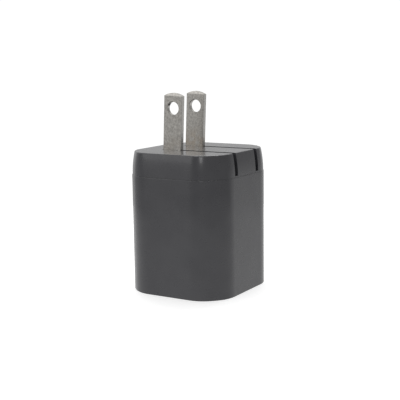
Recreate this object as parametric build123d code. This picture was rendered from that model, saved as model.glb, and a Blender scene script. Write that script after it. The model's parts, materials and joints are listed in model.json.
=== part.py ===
from build123d import *
import math
import os

# USB wall charger with two folding blades, in millimetres.
# The origin is the centre of the socket face. +Z runs up through the blades, +X is the side that
# the blades fold towards, and -Y is the front.

# ---- driving dimensions: body ----------------------------------------------------------------
body_width = 34.2          # along X
body_depth = 36.4          # along Y
seam_height = 35.6         # where the cap meets the housing
cap_top = 42.7
corner_leg = 6.2           # leg of the chamfer on each upright corner
corner_blend = 9.0         # radius that blends the chamfer into its two faces
draft = 0.03               # the housing is this much narrower on each side at its foot
cap_step = 0.15            # the cap stands this far inside the housing at the seam
cap_lean = 0.78            # how much further in the cap's sides are at the top
cap_bevel = 0.03           # on the cap's lower edge
rim_round = 0.18           # on the housing's rim, just outside the cap
edge_round = 0.4           # round on the cap's top edge
foot_round = 0.15          # round on the housing's bottom edge
housing_wall = 1.8
cap_wall = 2.8             # from the housing's outline to the inside of the cap
cap_roof = 1.8
lip_drop = 1.5             # the cap's lip reaches this far into the housing
lip_gap = 0.1
rail_thickness = 0.9       # rails that hold the upright board
rail_grip = 0.6            # how far a rail laps the board's edge
rail_gap = 0.1
rail_top = 28.0
shelf_place = 8.0          # X of the two shelves that carry the level board
shelf_thickness = 1.2
shelf_reach = 1.6          # how far a shelf reaches under the board
sunk = 0.2                 # a joined piece is let this far into the other
past = 1.0                 # a cutting shape reaches this far past what it cuts

# ---- driving dimensions: blades and hinge ------------------------------------------------------
blade_spacing = 12.7
blade_width = 6.35
blade_thickness = 1.5
blade_reach = 17.25        # from the cap's top face to the blade's tip
blade_lean = 2.6           # degrees off upright at rest, the play of the hinge
hole_height = 12.6         # from the cap's top face to the hole's centre
hole_radius = 1.98
hole_bevel = 0.15
tip_crown = 0.9
tip_bevel = 0.38           # taken off each flat at the tip
blade_edge_round = 0.15
pivot_x = -5.15
fold_depth = 0.125         # a folded blade lies this far below the cap's top face
slot_gap = 0.1             # each side of a blade
slot_end_gap = 0.25
groove_rise = 0.4          # from the seam to the floor of each slot
trough_wall = 0.9
trough_setback = 3.6       # from the axis to where the trough round a folded blade starts
barrel_radius = 2.0
barrel_gap = 0.3
cam_flat = 1.6             # from the axis to each flat of the cam
cam_length = 6.0
key_side = 2.4             # square key through each blade's root
key_gap = 0.01
trunnion_radius = 1.5
trunnion_gap = 0.05
collar_length = 1.0
bearing_width = 2.0
bearing_block = 5.0
bearing_split = 0.05       # the cap's and the cradle's bearings stop this far from the axis

# ---- driving dimensions: cradle and springs ----------------------------------------------------
screw_offsets = (-6.1, 7.1)   # from the axis, along X
screw_radius = 0.85
screw_head_radius = 1.6
screw_head_height = 1.1
screw_recess = (1.8, 0.4, 0.55)   # length, width and depth of the cross in a screw's head
thread_gap = 0.02
screw_clearance = 0.12     # round a screw's shank and head in the pieces that it clamps
boss_radius = 2.2
boss_drop = 2.1            # from the axis down to the ends of the screw bosses
plate_drop = 5.9           # from the axis down to the cradle's underside
plate_thickness = 1.0
plate_half = 11.0
plate_reach = (-6.3, 9.4)  # from the axis, along X
platform_half = 4.3
platform_tail = 1.9        # the middle platform reaches this far past the plate
leaf_thickness = 0.3
leaf_width = 5.0
leaf_window = (-3.5, 4.7)  # opening under the leaf, from the axis
leaf_feet = (-3.3, 4.3)    # where the leaf leaves the platform, from the axis
leaf_crest = 1.7           # half length of the leaf's raised middle
leaf_ends = (-1.8, 2.0)    # how far the leaf reaches past each screw
cam_gap = 0.15
contact_thickness = 0.35
contact_gap = 0.1
contact_bend = 0.5         # how far the contact leaf stands back at its foot and its end

# ---- driving dimensions: socket ----------------------------------------------------------------
usb_width = 13.1
usb_height = 5.7
usb_length = 14.0
usb_sheet = 0.3
usb_corner = 0.9
usb_recess = 0.2
usb_gap = 0.3              # between the shell and the opening in the housing
mouth_corner = 1.0
mouth_bevel = 0.3
finger_place = 3.2         # X of the spring fingers, either side of the middle
finger_width = 1.8
finger_window = (2.4, 2.6, 9.4)   # width, bottom and top of each window
finger_lead = 0.4          # from the window's bottom to the finger's end
finger_crest = 1.6         # from the window's bottom to where the finger bears on the plug
finger_bow = 0.35
tongue_half = 5.55
tongue_start = 3.0
tongue_back = 11.2         # where the tongue meets the block behind it
tongue_near = 0.06
tongue_far = 1.9
contact_places = (-3.5, -1.0, 1.0, 3.5)
contact_sheet = 0.2
contact_half = 0.5
contact_starts = {True: 3.6, False: 4.6}   # the outer contacts reach further than the inner ones
tail_half = 0.3
tail_end = 0.8             # the tails and legs stand this far out of the board

# ---- driving dimensions: boards and their parts ------------------------------------------------
board_thickness = 1.6
main_board_face = -10.0    # component side of the upright board
main_board_half = 13.2
main_board_low = 2.6
main_board_top = 33.2
output_board_thickness = 1.2
output_board_half = 12.4
output_board_back = 13.8
board_gap = 0.2            # between the socket or upright board and the level board
solder_gap = 0.05          # a part stands this far off its board
pin_end = 0.8              # a pin stands this far out of the board
lead_radius = 0.35
drill_radius = 0.45
transformer_centre = (4.6, -2.6, 24.5)
core_width = 13.0
core_depth = 6.0
core_half_height = 6.3
core_back = 1.6
core_leg = 1.5
core_centre_leg = 3.0
core_gap = 0.03
bobbin_wall = 0.6
bobbin_gap = 0.1
bobbin_half_depth = 6.6
flange = 0.8
winding_half = (4.6, 6.2)
winding_corner = 1.8
transformer_pin_radius = 0.28
pin_steps = (-3.0, 0.0, 3.0)
link_steps = (-4.0, -2.0, 0.0, 2.0, 4.0)
link_half = 0.25
link_reach = 2.5
input_capacitor_x = -8.4
input_capacitor_levels = {"lower": 20.2, "upper": 28.8}
input_capacitor_size = (4.0, 12.5)
output_capacitors = {"main": (-7.4, 9.4, 4.0, 11.5), "filter": (1.6, 9.6, 3.15, 9.0)}
resistor_centre = (-5.8, -8.0, 6.0)
resistor_radius = 1.6
resistor_half = 4.2
resistor_leads = 6.0       # half the distance between the leads
choke_place = (6.0, 7.4)
choke_radii = (3.1, 2.7)   # flange and waist
choke_flange = 1.0
choke_length = 6.4
disc_centre = (8.6, 9.4, 21.6)
disc_radius = 3.5
disc_half = 1.8
disc_edge = 1.4
disc_leads = 2.0           # half the distance between the leads
rectifier_body = ((1.4, 7.8), (-6.2, -1.5), 1.3)
rectifier_tabs = ((0.4, 8.8), (-4.9, -2.8), 0.3)
controller_centre = (-8.0, 8.0)
controller_size = (3.2, 1.8, 1.1)
controller_leg_reach = 1.7
controller_pitch = 0.95
chip_columns = (-9.5, 9.3)
chip_rows = (7.0, 11.2, 15.4, 19.6, 23.8)
chip_size = (1.6, 0.8, 0.55)
wire_radius = 0.5
wire_bend = 1.4
wire_level = 32.0          # where the leads run level, under the cradle
rear_wire_turn = (-3.2, 5.2)
sheet_half = 8.0
sheet_span = (3.5, 33.0)
sheet_thickness = 0.3

# ---- worked out --------------------------------------------------------------------------------
half_blade = blade_width / 2
half_thickness = blade_thickness / 2
blade_y = blade_spacing / 2
pivot_z = cap_top - fold_depth - half_blade
blade_tip = cap_top + blade_reach
roof_underside = cap_top - cap_roof
groove_floor = seam_height + groove_rise
lip_bottom = seam_height - lip_drop
slot_half = half_thickness + slot_gap
slot_start = pivot_x - half_blade - slot_end_gap
trough_half = slot_half + trough_wall
collar_end = blade_y + half_thickness + collar_length
bearing_start = collar_end + barrel_gap
bearing_end = bearing_start + bearing_width
bearing_x = (pivot_x - bearing_block / 2, pivot_x + bearing_block / 2)
screw_places = [pivot_x + offset for offset in screw_offsets]
screw_end = roof_underside - 0.5
boss_bottom = pivot_z - boss_drop
platform_top = boss_bottom - leaf_thickness
plate_low = pivot_z - plate_drop
plate_top = plate_low + plate_thickness
plate_x = [pivot_x + reach for reach in plate_reach]
head_low = plate_low + 0.1
head_seat = head_low + screw_head_height
usb_top = usb_recess + usb_length
output_board_low = usb_top + board_gap
output_board_top = output_board_low + output_board_thickness
main_board_back = main_board_face - board_thickness
link_z = output_board_top + 0.3
window_half = core_half_height - core_back

# ---- helpers -----------------------------------------------------------------------------------


def block(x_range, y_range, z_range):
    """Box between three pairs of limits."""
    size = [high - low for low, high in (x_range, y_range, z_range)]
    centre = [(high + low) / 2 for low, high in (x_range, y_range, z_range)]
    return Pos(*centre) * Box(*size)


def around(centre, half):
    """The limits that lie half to each side of a centre."""
    return centre - half, centre + half


def both_sides(near, far):
    """The limits of a piece on +Y and of its mirror image on -Y."""
    return (-far, -near), (near, far)


def rod(radius, start, end):
    """Cylinder from one point to another."""
    axis = Vector(*end) - Vector(*start)
    return Plane(origin=start, z_dir=axis) * extrude(Circle(radius), axis.length)


def hinge_rod(radius, low, high):
    """Cylinder on the hinge's axis between two Y values."""
    return rod(radius, (pivot_x, low, pivot_z), (pivot_x, high, pivot_z))


def upright_rod(radius, x, low, high):
    """Cylinder that stands in the middle plane."""
    return rod(radius, (x, 0, low), (x, 0, high))


def outline(inset):
    """Plan of the body moved inwards by inset: a rectangle with blended chamfers."""
    half_x = body_width / 2 - inset
    half_y = body_depth / 2 - inset
    leg = corner_leg - inset * (2 - math.sqrt(2))
    corner = [(half_x, half_y - leg), (half_x - leg, half_y)]
    points = corner + [(-x, y) for x, y in reversed(corner)]
    points += [(-x, -y) for x, y in points]
    return fillet(Polygon(*points, align=None).vertices(), corner_blend - inset)


def prism(inset, low, high):
    """Upright prism on the body's plan."""
    return Pos(0, 0, low) * extrude(outline(inset), high - low)


def level_edges(shape, height):
    """The edges of a shape that lie at one height."""
    return [e for e in shape.edges() if all(abs(v.Z - height) < 0.001 for v in e.vertices())]


def strip(points, thickness, width, y_centre, bend=0.5):
    """Bent metal strip: a path in the XZ plane given a thickness, then a width along Y."""
    flat = Plane.XZ * trace(FilletPolyline(*points, radius=bend), line_width=thickness)
    return Pos(0, y_centre, 0) * extrude(flat, width / 2, both=True)


def wire(points):
    """Round insulated wire: straight runs joined by tangent arcs."""
    path = FilletPolyline(*points, radius=wire_bend)
    start = Plane(origin=path @ 0, z_dir=path % 0)
    return sweep(start * Circle(wire_radius), path=path)


def drilled(board, places, axis):
    """A board with a round hole at each place, along the given axis."""
    reach = Vector(*axis) * (board_thickness + past)
    for place in places:
        board -= rod(drill_radius, tuple(Vector(*place) - reach), tuple(Vector(*place) + reach))
    return board


# ---- casing ------------------------------------------------------------------------------------


def main_housing():
    """One-piece cup with the socket's opening in its floor, board rails and two shelves."""
    flare = math.degrees(math.atan(draft / seam_height))
    shell = extrude(outline(draft), seam_height, taper=-flare)
    shell = fillet(level_edges(shell, 0), foot_round)
    shell = fillet(level_edges(shell, seam_height), rim_round)
    shell -= prism(housing_wall, housing_wall, seam_height + past)
    mouth_size = (usb_width + 2 * usb_gap, usb_height + 2 * usb_gap)
    mouth = RectangleRounded(*mouth_size, mouth_corner)
    shell -= extrude(mouth, housing_wall + past)
    shell -= extrude(offset(mouth, mouth_bevel), mouth_bevel, taper=45)
    inside_x = body_width / 2 - housing_wall
    inside_y = body_depth / 2 - housing_wall
    low = housing_wall - sunk
    for side in (-1, 1):
        rail_x = sorted((side * (inside_x + sunk), side * (main_board_half - rail_grip)))
        for edge, way in ((main_board_face + rail_gap, 1), (main_board_back - rail_gap, -1)):
            rail_y = sorted((edge, edge + way * rail_thickness))
            shell += block(rail_x, rail_y, (low, rail_top))
        shelf_x = around(side * shelf_place, shelf_thickness / 2)
        shelf_y = (output_board_back - shelf_reach, inside_y + sunk)
        shell += block(shelf_x, shelf_y, (low, output_board_low - solder_gap))
    return shell


def cap_shell():
    """Outside of the cap: bowed sides that start upright at the seam, and a rounded top edge."""
    height = cap_top - seam_height
    path = Pos(0, 0, seam_height) * outline(cap_step).wire()
    start = path.position_at(0)
    outward = path.tangent_at(0).cross(Vector(0, 0, 1))
    if outward.dot(start - Vector(0, 0, seam_height)) < 0:
        outward = -outward
    section = Plane(origin=start, x_dir=outward, z_dir=outward.cross(Vector(0, 0, 1)))
    side = TangentArc((0, cap_bevel), (-cap_lean, height), tangent=(0, 1))
    top = side @ 1 + (side % 1) * past
    rim = Polyline(side @ 1, (top.X, top.Y), (past, top.Y))
    foot = Polyline((past, top.Y), (past, -past), (-cap_bevel, -past), (-cap_bevel, 0), (0, cap_bevel))
    cutter = sweep(section * make_face([side, rim, foot]), path=path)
    blank = prism(cap_step - past / 2, seam_height, cap_top) - cutter
    return fillet(level_edges(blank, cap_top), edge_round)


def blade_cap():
    """Cap with the blades' troughs, the upper bearing ribs, two screw bosses and a lip."""
    cap = cap_shell()
    cap += prism(housing_wall + lip_gap, lip_bottom, seam_height + past)
    cap -= prism(cap_wall, lip_bottom - past, roof_underside)
    trough_x = (pivot_x + trough_setback, body_width / 2 - cap_wall + sunk)
    for y in (-blade_y, blade_y):
        cap += block(trough_x, around(y, trough_half), (groove_floor - trough_wall, roof_underside + sunk))
    for low, high in both_sides(bearing_start, bearing_end):
        cap += block(bearing_x, (low, high), (pivot_z + bearing_split, roof_underside + sunk))
        cap -= hinge_rod(trunnion_radius + trunnion_gap, low - past / 4, high + past / 4)
    for x in screw_places:
        cap += upright_rod(boss_radius, x, boss_bottom, roof_underside + sunk)
        cap -= upright_rod(screw_radius + thread_gap, x, boss_bottom - past, screw_end + sunk)
    cap -= hinge_rod(barrel_radius + barrel_gap, -bearing_start, bearing_start)
    for y in (-blade_y, blade_y):
        cap -= block((slot_start, body_width), around(y, slot_half), (groove_floor, cap_top + past))
    return cap


# ---- hinge -------------------------------------------------------------------------------------


def rotor_cradle():
    """Bearer under the rotor: plate, middle platform, lower bearings and screw holes."""
    cradle = block(plate_x, around(0, plate_half), (plate_low, plate_top))
    platform_x = (plate_x[0] - platform_tail, plate_x[1])
    cradle += block(platform_x, around(0, platform_half), (plate_low, platform_top))
    for y_range in both_sides(bearing_start, bearing_end):
        cradle += block(bearing_x, y_range, (plate_top, pivot_z - bearing_split))
    cradle -= hinge_rod(trunnion_radius + trunnion_gap, -plate_half, plate_half)
    window_x = [pivot_x + reach for reach in leaf_window]
    window_half_y = leaf_width / 2 + 2 * sunk
    cradle -= block(window_x, around(0, window_half_y), (plate_top + past, platform_top + past))
    for x in screw_places:
        cradle -= upright_rod(screw_radius + screw_clearance, x, plate_low, platform_top + past)
        cradle -= upright_rod(screw_head_radius + screw_clearance, x, plate_low - past, head_seat)
    return cradle


def cradle_screws():
    """Two pan-head screws with a cross recess."""
    length, width, depth = screw_recess
    screws = []
    for x in screw_places:
        head = upright_rod(screw_head_radius, x, head_low, head_seat)
        head = chamfer(level_edges(head, head_low), screw_head_height / 4)
        screw = head + upright_rod(screw_radius, x, head_seat, screw_end)
        for size in ((length, width), (width, length)):
            screw -= Pos(x, 0, head_low) * Box(*size, 2 * depth)
        screws.append(screw)
    return screws


def detent_spring():
    """Leaf spring clamped by both screws, bowed up under the rotor's cam."""
    rest = platform_top + leaf_thickness / 2
    crest = pivot_z - cam_flat - cam_gap - leaf_thickness / 2
    points = [(screw_places[0] + leaf_ends[0], rest), (pivot_x + leaf_feet[0], rest),
              (pivot_x - leaf_crest, crest), (pivot_x + leaf_crest, crest),
              (pivot_x + leaf_feet[1], rest), (screw_places[1] + leaf_ends[1], rest)]
    leaf = strip(points, leaf_thickness, leaf_width, 0, bend=1.0)
    for x in screw_places:
        leaf -= upright_rod(screw_radius + screw_clearance, x, rest - past, rest + past)
    return leaf


def contact_spring(y):
    """Bronze leaf that stands beside the blade's root, with its solder tab on the cradle."""
    tab = plate_top + thread_gap + contact_thickness / 2
    touch = pivot_x - half_blade - contact_gap - contact_thickness / 2
    back = touch - contact_bend
    points = [(wire_x - wire_radius, tab), (back, tab), (back, tab + 4 * contact_bend),
              (touch, pivot_z - 2 * contact_bend), (back, pivot_z + 2 * contact_bend)]
    return strip(points, contact_thickness, blade_thickness - sunk, y)


def turned(shape):
    """A piece of the moving body, turned from upright to where it rests."""
    pivot = Pos(pivot_x, 0, pivot_z)
    return pivot * Rot(0, blade_lean, 0) * pivot.inverse() * shape


def blade(y):
    """Flat blade with a round root, a crowned and bevelled tip, a hole and a square key hole."""
    left, right = around(pivot_x, half_blade)
    shoulder = blade_tip - tip_crown
    edges = [Line((right, pivot_z), (right, shoulder)),
             ThreePointArc((right, shoulder), (pivot_x, blade_tip), (left, shoulder)),
             Line((left, shoulder), (left, pivot_z)),
             ThreePointArc((left, pivot_z), (pivot_x, pivot_z - half_blade), (right, pivot_z))]
    flat = extrude(Plane.XZ * make_face(edges), half_thickness, both=True)
    flat = fillet(flat.edges().filter_by(Axis.Z), blade_edge_round)
    for way in (-1, 1):
        face = way * half_thickness
        wedge = Polyline((face, shoulder), (face - way * tip_bevel, blade_tip),
                         (face + way, blade_tip), (face + way, shoulder), close=True)
        flat -= extrude(Plane.YZ.offset(pivot_x) * make_face(wedge), blade_width, both=True)
    hole_z = cap_top + hole_height
    flat -= rod(hole_radius, (pivot_x, -blade_thickness, hole_z), (pivot_x, blade_thickness, hole_z))
    rims = [e for e in flat.edges().filter_by(GeomType.CIRCLE) if abs(e.radius - hole_radius) < 0.01]
    flat = chamfer(rims, hole_bevel)
    flat -= Pos(pivot_x, 0, pivot_z) * Box(key_side, 2 * blade_thickness, key_side)
    return turned(Pos(0, y, 0) * flat)


def blade_rotor():
    """Hub moulded through both blades: barrel with cam flats, keys, collars and trunnions."""
    inner = blade_y - half_thickness
    outer = blade_y + half_thickness
    hub = hinge_rod(barrel_radius, -inner, inner)
    cut_edge = barrel_radius + past
    cam_y = around(0, cam_length / 2)
    hub -= block(around(pivot_x, cut_edge), cam_y, (pivot_z - cut_edge, pivot_z - cam_flat))
    hub -= block((pivot_x + cam_flat, pivot_x + cut_edge), cam_y, around(pivot_z, cut_edge))
    key = key_side - 2 * key_gap
    hub += Pos(pivot_x, 0, pivot_z) * Box(key, 2 * (outer + sunk), key)
    for low, high in both_sides(outer, collar_end):
        hub += hinge_rod(barrel_radius, low, high)
    for low, high in both_sides(collar_end - sunk, bearing_end):
        hub += hinge_rod(trunnion_radius, low, high)
    return turned(hub)


# ---- boards and their parts --------------------------------------------------------------------


def transformer_pin_places():
    """X and Z of each transformer pin: a row at each flange."""
    x, _, z = transformer_centre
    row = window_half - bobbin_gap - flange / 2
    return [(x + step, z + way * row) for way in (-1, 1) for step in pin_steps]


def main_board():
    """Upright board of the mains side, drilled for the parts that pass through it."""
    board = block(around(0, main_board_half), (main_board_back, main_board_face),
                  (main_board_low, main_board_top))
    board = fillet(board.edges().filter_by(Axis.Y), 1.0)
    places = [(x, main_board_face, z) for x, z in transformer_pin_places()]
    places += [(x, main_board_face, link_z) for x in link_steps]
    return drilled(board, places, (0, 1, 0))


def output_board():
    """Level board of the low-voltage side, with holes for the socket's tails and legs."""
    board = block(around(0, output_board_half), (main_board_face + board_gap, output_board_back),
                  (output_board_low, output_board_top))
    tail_y = tongue_near - contact_sheet / 2
    board = drilled(board, [(x, tail_y, output_board_top) for x in contact_places], (0, 0, 1))
    for side in (-1, 1):
        leg_x = side * (usb_width - usb_sheet) / 2
        board -= Pos(leg_x, 0, output_board_low) * Box(3 * usb_sheet, 2.5, 4)
    return board


def board_link_pins():
    """Square pins that carry the low voltage from one board to the other."""
    y_range = (main_board_back - pin_end, main_board_face + link_reach)
    return [block(around(x, link_half), y_range, around(link_z, link_half)) for x in link_steps]


def electrolytic(radius, length):
    """Aluminium can on the XY plane: rolled groove near the bung, rounded top."""
    can = Pos(0, 0, length / 2) * Cylinder(radius, length)
    can = fillet(level_edges(can, length), 0.5)
    return can - Pos(0, 0, 1.6) * Torus(radius + 0.25, 0.5)


def input_capacitor(level):
    """Input capacitor, lying with its bung on the upright board."""
    base = Plane(origin=(input_capacitor_x, main_board_face + solder_gap, level), z_dir=(0, 1, 0))
    return base * electrolytic(*input_capacitor_size)


def output_capacitor(x, y, radius, length):
    """Output capacitor, standing on the level board."""
    return Pos(x, y, output_board_top + solder_gap) * electrolytic(radius, length)


def fusible_resistor():
    """Axial resistor with both leads bent to the board."""
    x, y, z = resistor_centre
    board = main_board_face + solder_gap
    body = rod(resistor_radius, (x - resistor_half, y, z), (x + resistor_half, y, z))
    body = fillet(body.edges().filter_by(GeomType.CIRCLE), 0.6)
    left, right = around(x, resistor_leads)
    lead = FilletPolyline((left, board), (left, y), (right, y), (right, board), radius=0.8)
    start = Plane(origin=(left, board, z), z_dir=(0, 1, 0))
    return body + sweep(start * Circle(lead_radius), path=Pos(0, 0, z) * lead)


def input_inductor():
    """Drum choke: two flanges and the wound waist."""
    x, z = choke_place
    rim, waist = choke_radii
    near = main_board_face + solder_gap
    far = near + choke_length
    drum = rod(waist, (x, near, z), (x, far, z))
    drum += rod(rim, (x, near, z), (x, near + choke_flange, z))
    return drum + rod(rim, (x, far - choke_flange, z), (x, far, z))


def chip(x, z, width, height, depth):
    """Flat package on the solder side of the upright board."""
    foot = main_board_back - solder_gap
    body = block(around(x, width / 2), (foot - depth, foot), around(z, height / 2))
    return chamfer(body.faces().sort_by(Axis.Y)[0].edges(), depth / 5)


def leaded_chip(x, z, width, height, depth, legs, pitch):
    """Flat package with a row of gull-wing legs at its top and bottom."""
    package = chip(x, z, width, height, depth)
    foot = main_board_back - solder_gap
    for step in range(legs):
        leg_x = x + (step - (legs - 1) / 2) * pitch
        package += block(around(leg_x, 0.2), (foot - 0.25, foot), around(z, height / 2 + 1.0))
    return package


def chip_components():
    """Ten small resistors and capacitors in two columns."""
    return [chip(x, z, *chip_size) for x in chip_columns for z in chip_rows]


def transformer_core(way):
    """One E half of the ferrite core, its legs pointing at the other half."""
    x, y, z = transformer_centre
    half = core_width / 2
    y_range = around(y, core_depth / 2)
    z_range = sorted((z + way * core_gap, z + way * core_half_height))
    core = block(around(x, half), y_range, z_range)
    for side in (-1, 1):
        window_x = sorted((x + side * core_centre_leg / 2, x + side * (half - core_leg)))
        core -= block(window_x, y_range, sorted((z, z + way * window_half)))
    return core


def bobbin_tube(extra):
    """Half sizes in X and Y of the bobbin's tube, made larger by extra."""
    return core_centre_leg / 2 + bobbin_gap + extra, core_depth / 2 + bobbin_gap + extra


def transformer_bobbin():
    """Bobbin on the core's centre leg: tube, two flanges, and the hole for the leg."""
    x, y, z = transformer_centre
    reach = window_half - bobbin_gap
    tube_x, tube_y = bobbin_tube(bobbin_wall)
    body = block(around(x, tube_x), around(y, tube_y), around(z, reach))
    flange_x = around(x, core_width / 2 - core_leg - bobbin_gap)
    flange_y = around(y, bobbin_half_depth)
    for way in (-1, 1):
        body += block(flange_x, flange_y, around(z + way * (reach - flange / 2), flange / 2))
    hole_x, hole_y = bobbin_tube(0)
    body -= block(around(x, hole_x), around(y, hole_y), around(z, core_half_height))
    front = y - bobbin_half_depth
    for pin_x, pin_z in transformer_pin_places():
        body -= rod(transformer_pin_radius + thread_gap, (pin_x, front - past, pin_z),
                    (pin_x, front + 1.5, pin_z))
    return body


def transformer_winding():
    """Taped winding: a ring with rounded corners between the flanges."""
    half_x, half_y = bobbin_tube(bobbin_wall + thread_gap)
    depth = window_half - bobbin_gap - flange - solder_gap
    outside = RectangleRounded(2 * winding_half[0], 2 * winding_half[1], winding_corner)
    ring = extrude(outside - Rectangle(2 * half_x, 2 * half_y), depth, both=True)
    return Pos(*transformer_centre) * ring


def transformer_pins():
    """Six pins from the bobbin's flanges through the upright board."""
    start = transformer_centre[1] - bobbin_half_depth + 1.4
    end = main_board_back - pin_end
    places = transformer_pin_places()
    return [rod(transformer_pin_radius, (x, start, z), (x, end, z)) for x, z in places]


def y_capacitor():
    """Disc capacitor standing on the level board on two leads."""
    x, y, z = disc_centre
    disc = rod(disc_radius, (x - disc_half, y, z), (x + disc_half, y, z))
    disc = fillet(disc.edges().filter_by(GeomType.CIRCLE), disc_edge)
    for lead_y in around(y, disc_leads):
        disc += rod(lead_radius, (x, lead_y, output_board_top + solder_gap), (x, lead_y, z))
    return disc


def output_rectifier():
    """Flat rectifier on the level board, with two end tabs."""
    base = output_board_top + solder_gap
    body_x, body_y, height = rectifier_body
    tab_x, tab_y, tab_height = rectifier_tabs
    body = block(body_x, body_y, (base, base + height))
    body = chamfer(body.edges().filter_by(Axis.Z), 0.4)
    return body + block(tab_x, tab_y, (base, base + tab_height))


def port_controller_ic():
    """Small six-legged package under the level board."""
    x, y = controller_centre
    width, depth, height = controller_size
    top = output_board_low - solder_gap
    body = block(around(x, width / 2), around(y, depth / 2), (top - height, top))
    for step in (-1, 0, 1):
        leg_x = x + step * controller_pitch
        body += block(around(leg_x, 0.2), around(y, controller_leg_reach), (top - 0.2, top))
    return body


# ---- socket ------------------------------------------------------------------------------------


def usb_shell():
    """Rolled steel shell with two spring fingers on each wide side and two board legs."""
    outer = RectangleRounded(usb_width, usb_height, usb_corner)
    shell = Pos(0, 0, usb_recess) * extrude(outer - offset(outer, -usb_sheet), usb_length)
    window_width, window_low, window_high = finger_window
    half_sheet = usb_sheet / 2
    for way in (-1, 1):
        wall = way * (usb_height - usb_sheet) / 2
        for x in (-finger_place, finger_place):
            shell -= block(around(x, window_width / 2), around(wall, usb_sheet), (window_low, window_high))
            shell += spring_finger(x, wall, -way * finger_bow, window_low, window_high + usb_sheet)
        leg_x = around(way * (usb_width - usb_sheet) / 2, half_sheet)
        shell += block(leg_x, around(0, 1.0), (usb_top - past / 2, output_board_top + tail_end))
    return shell


def spring_finger(x, wall, bow, window_low, root):
    """Finger that hangs in its window from its root and bows inwards near its end."""
    outside = wall + usb_sheet / 2
    inside = wall - usb_sheet / 2
    end = window_low + finger_lead
    crest = window_low + finger_crest
    points = [(outside, root), (inside, root), (inside + bow, crest), (inside, end), (outside, end),
              (outside + bow, crest)]
    face = Plane.YZ.offset(x) * make_face(Polyline(*points, close=True))
    return extrude(face, finger_width / 2, both=True)


def usb_tongue():
    """Insulator: a block that fills the shell's back and the tongue that a plug slides over."""
    half_x = usb_width / 2 - usb_sheet - solder_gap
    half_y = usb_height / 2 - usb_sheet - solder_gap
    insulator = block(around(0, half_x), around(0, half_y), (tongue_back, usb_top))
    insulator = fillet(insulator.edges().filter_by(Axis.Z), 0.5)
    tongue = block(around(0, tongue_half), (tongue_near, tongue_far), (tongue_start, tongue_back + sunk))
    insulator += chamfer(level_edges(tongue, tongue_start), 0.3)
    groove_y = (tongue_near - contact_sheet - 3 * thread_gap, tongue_near)
    for x in contact_places:
        groove_x = around(x, contact_half + solder_gap)
        insulator -= block(groove_x, groove_y, (tongue_back - past, usb_top + past))
    return insulator


def usb_contacts():
    """Four contacts along the tongue, the outer two longer, with tails through the board."""
    far = tongue_near - 0.01
    near = far - contact_sheet
    contacts = []
    for x in contact_places:
        start = contact_starts[abs(x) > contact_places[2]]
        contact = block(around(x, contact_half), (near, far), (start, usb_top - tail_half))
        tail_z = (usb_top - 2 * tail_half, output_board_top + tail_end)
        contact += block(around(x, tail_half), (near, far), tail_z)
        contacts.append(contact)
    return contacts


# ---- wires and sheet ---------------------------------------------------------------------------

wire_x = plate_x[0] - 0.7
wire_top = plate_top - thread_gap
board_end = main_board_face + 0.15


def lead_wire_front():
    """Short lead from the front contact spring's tab down to the upright board."""
    return wire([(wire_x, -blade_y, wire_top), (wire_x, -blade_y, wire_level),
                 (wire_x, board_end, wire_level)])


def lead_wire_rear():
    """Longer lead that passes between the input capacitors and the transformer."""
    turn_x, turn_y = rear_wire_turn
    return wire([(wire_x, blade_y, wire_top), (wire_x, blade_y, wire_level),
                 (turn_x, turn_y, wire_level), (turn_x, board_end, wire_level)])


def insulation_sheet():
    """Film between the board's solder side and the housing's front wall."""
    front = -body_depth / 2 + housing_wall + sunk
    return block(around(0, sheet_half), (front, front + sheet_thickness), sheet_span)


# ---- every node --------------------------------------------------------------------------------

nodes = {
    "main_housing": main_housing(),
    "blade_cap": blade_cap(),
    "rotor_cradle": rotor_cradle(),
    "cradle_screws": cradle_screws(),
    "detent_spring": detent_spring(),
    "contact_spring_front": contact_spring(-blade_y),
    "contact_spring_rear": contact_spring(blade_y),
    "lead_wire_front": lead_wire_front(),
    "lead_wire_rear": lead_wire_rear(),
    "blade_front": blade(-blade_y),
    "blade_rear": blade(blade_y),
    "blade_rotor": blade_rotor(),
    "main_board": main_board(),
    "output_board": output_board(),
    "board_link_pins": board_link_pins(),
    "fusible_resistor": fusible_resistor(),
    "input_inductor": input_inductor(),
    "bridge_rectifier": leaded_chip(-4.0, 7.5, 4.7, 3.9, 1.5, legs=2, pitch=2.5),
    "switcher_ic": leaded_chip(2.5, transformer_centre[2], 4.9, 3.9, 1.5, legs=4, pitch=1.27),
    "chip_components": chip_components(),
    "transformer_core_upper": transformer_core(1),
    "transformer_core_lower": transformer_core(-1),
    "transformer_bobbin": transformer_bobbin(),
    "transformer_winding": transformer_winding(),
    "transformer_pins": transformer_pins(),
    "y_capacitor": y_capacitor(),
    "output_rectifier": output_rectifier(),
    "port_controller_ic": port_controller_ic(),
    "usb_shell": usb_shell(),
    "usb_tongue": usb_tongue(),
    "usb_contacts": usb_contacts(),
    "insulation_sheet": insulation_sheet(),
}
for place, level in input_capacitor_levels.items():
    nodes["input_capacitor_" + place] = input_capacitor(level)
for place, size in output_capacitors.items():
    nodes["output_capacitor_" + place] = output_capacitor(*size)

os.makedirs("parts", exist_ok=True)
for name, shape in nodes.items():
    solids = Compound(children=shape) if isinstance(shape, list) else shape
    export_step(solids, f"parts/{name}.step")
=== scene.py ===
import json
import math

import bpy
from mathutils import Matrix, Vector


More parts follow.
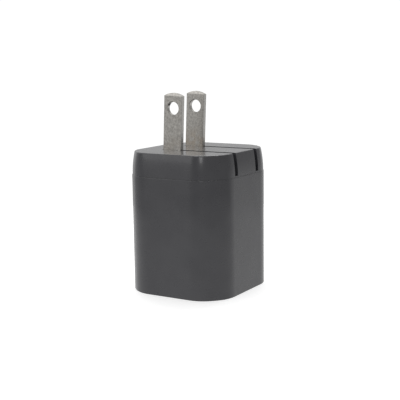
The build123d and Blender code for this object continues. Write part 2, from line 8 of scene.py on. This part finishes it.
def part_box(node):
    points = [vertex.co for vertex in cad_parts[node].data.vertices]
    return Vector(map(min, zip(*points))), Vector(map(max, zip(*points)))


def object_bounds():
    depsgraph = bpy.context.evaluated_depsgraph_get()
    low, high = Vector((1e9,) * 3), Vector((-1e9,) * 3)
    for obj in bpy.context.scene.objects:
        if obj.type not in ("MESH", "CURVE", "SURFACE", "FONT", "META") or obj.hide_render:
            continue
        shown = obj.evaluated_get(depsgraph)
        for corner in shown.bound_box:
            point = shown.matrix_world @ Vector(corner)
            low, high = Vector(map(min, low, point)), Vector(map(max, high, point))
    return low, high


# USB wall charger with folding blades. Lengths are metres unless a name ends in _mm, and every
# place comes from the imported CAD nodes. +Z is up through the blades and -Y is the front.

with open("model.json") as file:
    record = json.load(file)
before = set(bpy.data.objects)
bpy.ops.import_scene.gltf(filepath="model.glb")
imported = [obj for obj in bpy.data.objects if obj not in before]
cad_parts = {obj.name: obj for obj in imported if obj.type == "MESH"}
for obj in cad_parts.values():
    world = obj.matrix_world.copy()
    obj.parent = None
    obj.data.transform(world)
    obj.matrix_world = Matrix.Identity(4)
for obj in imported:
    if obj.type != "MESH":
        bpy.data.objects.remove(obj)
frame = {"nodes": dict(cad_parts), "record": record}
cad_low, cad_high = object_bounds()
cap_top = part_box("blade_cap")[1].z
MM = 0.001
WHITE = (1, 1, 1, 1)
NOISE_LOW, NOISE_HIGH = 0.3, 0.7     # nearly all of a noise pattern lies between these

# The camera stands in front and to the right. Its angles are degrees: azimuth goes round from the
# front towards +X. It looks at a point on the object's axis, moved a little to the right.
CAMERA_AZIMUTH = 31.477
CAMERA_ELEVATION = 9.424
CAMERA_ROLL = -0.804
CAMERA_DISTANCE_MM = 282.91
TARGET_HEIGHT_MM = 26.679
TARGET_RIGHT_MM = 0.313
SENSOR_WIDTH_MM = 36
LENS_MM = 82.2681

# Round table under the charger.
TABLE_RADIUS = 0.15
TABLE_RIM = 0.004
TABLE_STEPS = 96
TABLE_GLOW = 0.62        # its own light, which keeps it near white under the charger's shade
TABLE_LEVEL = 0.68       # how bright it is in reflections

# The room: white to the camera, and to the surfaces an even level with soft patches over it.
# Each patch has a direction, the angles where it is full and where it ends, and a level.
SEEN_LEVEL = 1.05
BASE_LEVEL = 0.34
PATCHES = (
    ((-0.52, 0.84, 0.45), 30, 65, 0.74),     # white backdrop, behind and to the left
    ((-0.52, 0.84, -0.35), 15, 35, 0.36),    # table in front of the backdrop
    ((0.50, 0.84, -0.45), 16, 32, 0.62),     # table behind and to the right
    ((0.55, 0.84, 0.30), 10, 30, 0.30),      # dim gap beside the backdrop
    ((0.84, -0.52, 0.12), 25, 60, 0.42),     # shade on the camera's right
    ((-0.52, -0.84, -0.16), 20, 50, 0.35),   # table in front, to the left
    ((-0.52, -0.84, 0.14), 12, 24, 0.60),    # brighter horizon over that table
)

# Square lights that face the object: name, direction, side and watts.
LIGHT_DISTANCE = 0.7
LIGHTS = (
    ("key_light", (-0.52, -0.70, 0.55), 0.6, 0.9),      # in front, to the left
    ("top_light", (-0.15, 0.35, 1.0), 0.5, 3.0),        # overhead, a little behind
    ("edge_light", (0.38, -0.87, 0.30), 0.13, 0.2),     # small, for the glint below the cap's rim
)


# ---- building node trees ---------------------------------------------------------------------


class Tree:
    """A node tree, with short calls that add and join nodes."""

    def __init__(self, node_tree):
        self.nodes = node_tree.nodes
        self.links = node_tree.links

    def add(self, kind, inputs=None, **settings):
        """A node with its settings, and with its inputs set or joined by name or number."""
        node = self.nodes.new(kind)
        for key, value in settings.items():
            setattr(node, key, value)
        for key, value in (inputs or {}).items():
            self.feed(node.inputs[key], value)
        return node

    def feed(self, socket, value):
        """Joins an output to a socket, or sets the socket's own value."""
        if isinstance(value, bpy.types.NodeSocket):
            self.links.new(value, socket)
        else:
            socket.default_value = value

    def maths(self, operation, first, second=0.0):
        """One arithmetic step on two numbers, or on the first of them."""
        return self.add("ShaderNodeMath", {0: first, 1: second}, operation=operation).outputs[0]

    def dot(self, first, second):
        """Dot product of two vectors: 1 where two unit vectors agree."""
        node = self.add("ShaderNodeVectorMath", {0: first, 1: second}, operation="DOT_PRODUCT")
        return node.outputs["Value"]

    def spread(self, value, low, high, to_low=0.0, to_high=1.0, kind="SMOOTHSTEP"):
        """Maps low..high to to_low..to_high and holds the ends."""
        inputs = {"Value": value, "From Min": low, "From Max": high, "To Min": to_low, "To Max": to_high}
        return self.add("ShaderNodeMapRange", inputs, interpolation_type=kind).outputs["Result"]

    def blend_levels(self, factor, first, second):
        """Two numbers mixed by a factor."""
        return self.add("ShaderNodeMix", {0: factor, 2: first, 3: second}).outputs[0]

    def blend(self, factor, first, second):
        """Two colours mixed by a factor."""
        return self.add("ShaderNodeMix", {0: factor, 6: first, 7: second}, data_type="RGBA").outputs[2]

    def seen_by_camera(self):
        """1 for what the camera sees directly, 0 for what is seen in a reflection."""
        return self.add("ShaderNodeLightPath").outputs["Is Camera Ray"]


class Recipe(Tree):
    """The node tree of one new material, with the patterns that the materials share."""

    def __init__(self, name, **shader_values):
        self.material = bpy.data.materials.new(name)
        self.material.use_nodes = True
        super().__init__(self.material.node_tree)
        self.shader = self.nodes["Principled BSDF"]
        for socket, value in shader_values.items():
            self.feed(self.shader.inputs[socket.replace("_", " ")], value)
        self.place = self.place_in_mm()

    def place_in_mm(self):
        """The point on the object, in millimetres."""
        point = self.add("ShaderNodeTexCoord").outputs["Object"]
        return self.add("ShaderNodeVectorMath", {0: point, "Scale": 1 / MM}, operation="SCALE").outputs[0]

    def stretched(self, factors):
        """The point with each axis multiplied, to draw a pattern out along an axis."""
        return self.add("ShaderNodeVectorMath", {0: self.place, 1: factors}, operation="MULTIPLY").outputs[0]

    def axis(self, name):
        """One coordinate of the point, in millimetres."""
        return self.add("ShaderNodeSeparateXYZ", {0: self.place}).outputs[name]

    def facing(self, name):
        """1 where the surface faces along one of the object's axes, 0 where it is side-on to it."""
        normal = self.add("ShaderNodeTexCoord").outputs["Normal"]
        along = self.add("ShaderNodeSeparateXYZ", {0: normal}).outputs[name]
        return self.maths("ABSOLUTE", along)

    def noise(self, per_mm, detail=3.0, rough=0.55, place=None):
        """Smooth noise from 0 to 1."""
        inputs = {"Vector": place or self.place, "Scale": per_mm, "Detail": detail, "Roughness": rough}
        return self.add("ShaderNodeTexNoise", inputs).outputs["Fac"]

    def bands(self, per_mm, distortion, direction):
        """Soft parallel bands from 0 to 1."""
        inputs = {"Vector": self.place, "Scale": per_mm, "Distortion": distortion}
        return self.add("ShaderNodeTexWave", inputs, bands_direction=direction).outputs["Fac"]

    def even(self, pattern):
        """A noise pattern drawn out to fill 0 to 1."""
        return self.spread(pattern, NOISE_LOW, NOISE_HIGH)

    def gloss(self, pattern, smooth, rough):
        """Roughness that follows a pattern between two values."""
        return self.spread(pattern, NOISE_LOW, NOISE_HIGH, smooth, rough, "LINEAR")

    def bump(self, height, depth_mm, over=None):
        """Relief that is depth_mm deep where height goes from 0 to 1."""
        inputs = {"Height": height, "Distance": depth_mm * MM}
        if over is not None:
            inputs["Normal"] = over
        return self.add("ShaderNodeBump", inputs).outputs["Normal"]

    def edges(self, radius_mm):
        """1 on the sharp outer edges, 0 on the faces."""
        flat, sharp = 0.995, 0.93
        softened = self.add("ShaderNodeBevel", {"Radius": radius_mm * MM}, samples=6).outputs[0]
        normal = self.add("ShaderNodeNewGeometry").outputs["Normal"]
        return self.spread(self.dot(softened, normal), flat, sharp)

    def crevices(self, reach_mm):
        """1 deep in narrow gaps, 0 on open faces."""
        half_open, closed = 0.6, 0.1
        inputs = {"Distance": reach_mm * MM}
        sky = self.add("ShaderNodeAmbientOcclusion", inputs, samples=8, only_local=True)
        return self.spread(sky.outputs["AO"], half_open, closed)

    def finish(self, colour, roughness, normal=None):
        """The material, with its patterns joined to the shader."""
        self.feed(self.shader.inputs["Base Color"], colour)
        self.feed(self.shader.inputs["Roughness"], roughness)
        if normal is not None:
            self.feed(self.shader.inputs["Normal"], normal)
        return self.material


def grey(value):
    """A colour without hue."""
    return (value, value, value, 1)


# ---- materials -------------------------------------------------------------------------------


def moulded_plastic(name, dark, light, grain_mm, roughness):
    """Satin plastic from a spark-eroded mould: fine even grain, painted light in narrow gaps and worn edges.
    """
    recipe = Recipe(name, Coat_Weight=0.5, Coat_Roughness=0.15)
    colour = recipe.blend(recipe.even(recipe.noise(per_mm=0.12, detail=2)), dark, light)
    # Painted light: narrow gaps and the seam are lifted towards pale grey, standing in for glare in the
    # slots.
    painted_gap_light = recipe.maths("MULTIPLY", recipe.crevices(reach_mm=0.8), 0.8)
    colour = recipe.blend(painted_gap_light, colour, grey(0.55))
    rubbed = recipe.spread(recipe.noise(per_mm=1.1), 0.35, 0.75)
    worn = recipe.maths("MULTIPLY", recipe.edges(radius_mm=0.25), rubbed)
    colour = recipe.blend(recipe.maths("MULTIPLY", worn, 0.35), colour, grey(0.16))
    handled = recipe.noise(per_mm=0.35, detail=4)
    gloss = recipe.spread(handled, 0.3, 0.75, roughness - 0.03, roughness + 0.06, "LINEAR")
    grain = recipe.noise(per_mm=1 / grain_mm, detail=2, rough=0.6)
    return recipe.finish(colour, gloss, recipe.bump(grain, depth_mm=0.006))


def nickel(name):
    """Nickel-plated brass blade: mottled plate, narrow sides made brighter by a painted reflection, drawn
    scratches, and a brown rub near its root."""
    dull, bright = (0.37, 0.356, 0.334, 1), (0.60, 0.58, 0.543, 1)
    # side is the pale colour of a painted reflection on the narrow sides; brown is the rubbed brass.
    side, brown = (0.80, 0.785, 0.755, 1), (0.45, 0.39, 0.32, 1)
    root_mm = cap_top / MM
    rub_full_mm, rub_end_mm = root_mm + 1.0, root_mm + 7.5
    recipe = Recipe(name, Metallic=1.0)
    mottle = recipe.noise(per_mm=1.6, detail=5, rough=0.65)
    colour = recipe.blend(recipe.even(mottle), dull, bright)
    blotch = recipe.spread(recipe.noise(per_mm=0.35, detail=2), 0.35, 0.65)
    near_root = recipe.spread(recipe.axis("Z"), rub_end_mm, rub_full_mm)
    rear_more = recipe.spread(recipe.axis("Y"), -1, 1, 0.25, 0.8)
    rub = recipe.maths("MULTIPLY", recipe.maths("MULTIPLY", near_root, blotch), rear_more)
    colour = recipe.blend(rub, colour, brown)
    # Painted reflection: faces along X, the blade's narrow sides, are blended half way to the pale side
    # colour.
    narrow = recipe.spread(recipe.facing("X"), 0.8, 0.95)
    colour = recipe.blend(recipe.maths("MULTIPLY", narrow, 0.5), colour, side)
    drawn = recipe.noise(per_mm=1.0, detail=4, rough=0.7, place=recipe.stretched((9.0, 9.0, 0.5)))
    crossed = recipe.noise(per_mm=1.0, detail=3, rough=0.7, place=recipe.stretched((2.5, 2.5, 6.0)))
    relief = recipe.bump(mottle, depth_mm=0.028)
    relief = recipe.bump(drawn, depth_mm=0.004, over=relief)
    relief = recipe.bump(crossed, depth_mm=0.003, over=relief)
    gloss = recipe.gloss(drawn, smooth=0.22, rough=0.36)
    return recipe.finish(colour, gloss, relief)


def brushed_metal(name, dark, light, roughness):
    """Rolled or drawn metal: fine lines and slight clouding."""
    recipe = Recipe(name, Metallic=1.0)
    lines = recipe.noise(per_mm=1.0, detail=3, rough=0.7, place=recipe.stretched((8.0, 8.0, 0.8)))
    cloud = recipe.noise(per_mm=0.5, detail=3)
    colour = recipe.blend(recipe.even(cloud), dark, light)
    gloss = recipe.gloss(lines, roughness - 0.06, roughness + 0.06)
    return recipe.finish(colour, gloss, recipe.bump(lines, depth_mm=0.003))


def coated(name, dark, light, roughness, grain_mm, depth_mm):
    """Dipped, sleeved, moulded or fired coat with an uneven skin."""
    recipe = Recipe(name)
    skin = recipe.noise(per_mm=1 / grain_mm, detail=3)
    colour = recipe.blend(recipe.even(skin), dark, light)
    gloss = recipe.gloss(skin, roughness - 0.05, roughness + 0.08)
    return recipe.finish(colour, gloss, recipe.bump(skin, depth_mm))


def circuit_board(name):
    """Green lacquer, raised over a net of copper tracks, on faint glass weave."""
    lacquer, over_copper = (0.01, 0.09, 0.035, 1), (0.03, 0.17, 0.06, 1)
    glass = (0.10, 0.20, 0.08, 1)
    recipe = Recipe(name)
    cells = {"Vector": recipe.place, "Scale": 0.45}
    tracks = recipe.add("ShaderNodeTexVoronoi", cells, feature="DISTANCE_TO_EDGE").outputs["Distance"]
    copper = recipe.spread(tracks, 0.06, 0.09, 1.0, 0.0)
    weave = recipe.bands(per_mm=1.2, distortion=0.5, direction="DIAGONAL")
    colour = recipe.blend(copper, lacquer, over_copper)
    colour = recipe.blend(recipe.maths("MULTIPLY", weave, 0.12), colour, glass)
    gloss = recipe.spread(weave, 0, 1, 0.28, 0.36, "LINEAR")
    return recipe.finish(colour, gloss, recipe.bump(copper, depth_mm=0.03))


def wound_tape(name):
    """Yellow polyester tape wound in overlapping turns."""
    tape, lapped = (0.72, 0.50, 0.06, 1), (0.50, 0.31, 0.03, 1)
    recipe = Recipe(name)
    turns = recipe.bands(per_mm=0.45, distortion=0.4, direction="Z")
    wrinkle = recipe.noise(per_mm=1.5, detail=4)
    colour = recipe.blend(recipe.spread(turns, 0.75, 0.95), tape, lapped)
    relief = recipe.bump(wrinkle, depth_mm=0.02, over=recipe.bump(turns, depth_mm=0.04))
    gloss = recipe.gloss(wrinkle, smooth=0.22, rough=0.34)
    return recipe.finish(colour, gloss, relief)


def clear_film(name):
    """Milky polyester film with faint handling marks."""
    recipe = Recipe(name, Alpha=0.55, IOR=1.6)
    haze = recipe.noise(per_mm=0.6, detail=4)
    colour = recipe.blend(haze, (0.72, 0.74, 0.72, 1), (0.86, 0.88, 0.86, 1))
    gloss = recipe.gloss(haze, smooth=0.15, rough=0.3)
    return recipe.finish(colour, gloss, recipe.bump(haze, depth_mm=0.01))


def slot_materials():
    """One material for each material slot of the record."""
    return {
        "housing_plastic": moulded_plastic(
            "grey_housing_plastic", (0.045, 0.045, 0.051, 1), (0.054, 0.054, 0.060, 1),
            grain_mm=0.16, roughness=0.28),
        "inner_plastic": moulded_plastic(
            "black_inner_plastic", grey(0.018), grey(0.024), grain_mm=0.22, roughness=0.5),
        "socket_plastic": moulded_plastic(
            "white_socket_plastic", (0.70, 0.70, 0.68, 1), (0.78, 0.78, 0.76, 1),
            grain_mm=0.25, roughness=0.42),
        "nickel_plate": nickel("worn_nickel_plate"),
        "steel": brushed_metal("drawn_steel", grey(0.52), grey(0.60), roughness=0.28),
        "spring_steel": brushed_metal(
            "blued_spring_steel", (0.30, 0.31, 0.34, 1), (0.42, 0.43, 0.46, 1), roughness=0.3),
        "bronze": brushed_metal(
            "phosphor_bronze", (0.55, 0.34, 0.18, 1), (0.68, 0.44, 0.25, 1), roughness=0.3),
        "gold_contact": brushed_metal(
            "gold_flash", (0.80, 0.56, 0.22, 1), (0.90, 0.66, 0.30, 1), roughness=0.22),
        "tinned_metal": brushed_metal("tinned_wire", grey(0.58), grey(0.70), roughness=0.34),
        "black_insulation": coated(
            "black_wire_cover", grey(0.012), grey(0.020), roughness=0.42, grain_mm=0.3, depth_mm=0.004),
        "white_insulation": coated(
            "white_wire_cover", grey(0.62), grey(0.72), roughness=0.42, grain_mm=0.3, depth_mm=0.004),
        "circuit_board": circuit_board("green_lacquered_board"),
        "resistor_coat": coated(
            "grey_cement_coat", grey(0.24), grey(0.34), roughness=0.72, grain_mm=0.25, depth_mm=0.03),
        "choke_sleeve": coated(
            "shrunk_black_sleeve", grey(0.012), grey(0.022), roughness=0.34, grain_mm=0.8, depth_mm=0.02),
        "chip_package": coated(
            "moulded_epoxy", grey(0.014), grey(0.022), roughness=0.6, grain_mm=0.12, depth_mm=0.006),
        "chip_ceramic": coated(
            "fired_ceramic", (0.34, 0.26, 0.18, 1), (0.44, 0.35, 0.25, 1),
            roughness=0.5, grain_mm=0.2, depth_mm=0.004),
        "ferrite": coated(
            "sintered_ferrite", grey(0.035), grey(0.060), roughness=0.55, grain_mm=0.18, depth_mm=0.012),
        "winding_tape": wound_tape("yellow_polyester_tape"),
        "blue_coat": coated(
            "blue_dipped_coat", (0.02, 0.14, 0.42, 1), (0.03, 0.19, 0.52, 1),
            roughness=0.3, grain_mm=0.9, depth_mm=0.03),
        "can_sleeve": coated(
            "black_can_sleeve", (0.012, 0.014, 0.030, 1), (0.018, 0.022, 0.042, 1),
            roughness=0.3, grain_mm=1.2, depth_mm=0.01),
        "can_aluminium": brushed_metal("bright_can_aluminium", grey(0.66), grey(0.76), roughness=0.26),
        "film": clear_film("polyester_film"),
    }


def paint_nodes():
    """Gives every CAD node the material of its slot."""
    materials = slot_materials()
    for part in frame["record"]["subparts"]:
        mesh = frame["nodes"][part["node"]].data
        mesh.materials.clear()
        mesh.materials.append(materials[part["material_slot"]])


# ---- studio ----------------------------------------------------------------------------------


def floor_material():
    """Pale matt table. Reflections see it at one plain level."""
    recipe = Recipe("pale_floor", Emission_Color=WHITE, Emission_Strength=TABLE_GLOW)
    tone = recipe.blend(recipe.noise(per_mm=0.02, detail=2), grey(0.62), grey(0.66))
    recipe.finish(tone, roughness=0.9)
    mirrored = recipe.add("ShaderNodeEmission", {"Strength": TABLE_LEVEL}).outputs[0]
    direct = recipe.shader.outputs[0]
    inputs = {0: recipe.seen_by_camera(), 1: mirrored, 2: direct}
    surface = recipe.add("ShaderNodeMixShader", inputs).outputs[0]
    recipe.feed(recipe.nodes["Material Output"].inputs["Surface"], surface)
    return recipe.material


def floor():
    """Round table that the charger stands on, with a turned-down rim."""
    rings = (
        (TABLE_RADIUS / 2, 0.0),
        (TABLE_RADIUS, 0.0),
        (TABLE_RADIUS + TABLE_RIM, -TABLE_RIM),
    )
    points = [(0, 0, cad_low.z)]
    for distance, drop in rings:
        for step in range(TABLE_STEPS):
            angle = 2 * math.pi * step / TABLE_STEPS
            points.append((distance * math.cos(angle), distance * math.sin(angle), cad_low.z + drop))
    faces = []
    for step in range(TABLE_STEPS):
        after = (step + 1) % TABLE_STEPS
        faces.append((0, 1 + step, 1 + after))
        for ring in range(len(rings) - 1):
            inner = 1 + ring * TABLE_STEPS
            outer = inner + TABLE_STEPS
            faces.append((inner + step, outer + step, outer + after, inner + after))
    mesh = bpy.data.meshes.new("floor")
    mesh.from_pydata(points, [], faces)
    mesh.materials.append(floor_material())
    table = bpy.data.objects.new("floor", mesh)
    bpy.context.scene.collection.objects.link(table)


def surroundings():
    """The room's light, from its base level and patches."""
    world = bpy.data.worlds.new("studio")
    bpy.context.scene.world = world
    world.use_nodes = True
    tree = Tree(world.node_tree)
    tree.nodes.clear()
    direction = tree.add("ShaderNodeTexCoord").outputs["Generated"]
    level = BASE_LEVEL
    for towards, full_deg, end_deg, patch_level in PATCHES:
        full, end = (math.cos(math.radians(angle)) for angle in (full_deg, end_deg))
        patch = tree.spread(tree.dot(direction, Vector(towards).normalized()), end, full)
        level = tree.blend_levels(patch, level, patch_level)
    strength = tree.blend_levels(tree.seen_by_camera(), level, SEEN_LEVEL)
    background = tree.add("ShaderNodeBackground", {"Color": WHITE, "Strength": strength}).outputs[0]
    tree.add("ShaderNodeOutputWorld", {"Surface": background})


def soft_light(name, towards, side, watts):
    """Square softbox that faces the middle of the object."""
    data = bpy.data.lights.new(name, "AREA")
    data.shape = "SQUARE"
    data.size = side
    data.energy = watts
    lamp = bpy.data.objects.new(name, data)
    centre = (cad_low + cad_high) / 2
    away = Vector(towards).normalized()
    lamp.location = centre + away * LIGHT_DISTANCE
    lamp.rotation_mode = "QUATERNION"
    lamp.rotation_quaternion = away.to_track_quat("Z", "Y")
    bpy.context.scene.collection.objects.link(lamp)


def camera():
    """Long lens a little above the charger."""
    azimuth, elevation, roll = (
        math.radians(angle) for angle in (CAMERA_AZIMUTH, CAMERA_ELEVATION, CAMERA_ROLL))
    right = Vector((math.cos(azimuth), math.sin(azimuth), 0))
    level_back = Vector((math.sin(azimuth), -math.cos(azimuth), 0))
    back = level_back * math.cos(elevation) + Vector((0, 0, math.sin(elevation)))
    up = back.cross(right)
    rolled_right = right * math.cos(roll) + up * math.sin(roll)
    rolled_up = up * math.cos(roll) - right * math.sin(roll)
    data = bpy.data.cameras.new("camera")
    data.sensor_width = SENSOR_WIDTH_MM
    data.lens = LENS_MM
    data.clip_start = 0.01
    data.clip_end = 10
    view = bpy.data.objects.new("camera", data)
    turn = Matrix((rolled_right, rolled_up, back)).transposed().to_4x4()
    target = Vector((0, 0, TARGET_HEIGHT_MM)) + right * TARGET_RIGHT_MM
    place = (target + back * CAMERA_DISTANCE_MM) * MM
    view.matrix_world = Matrix.Translation(place) @ turn
    bpy.context.scene.collection.objects.link(view)
    bpy.context.scene.camera = view


bpy.context.scene.view_settings.view_transform = "Standard"
paint_nodes()
floor()
surroundings()
for light in LIGHTS:
    soft_light(*light)
camera()
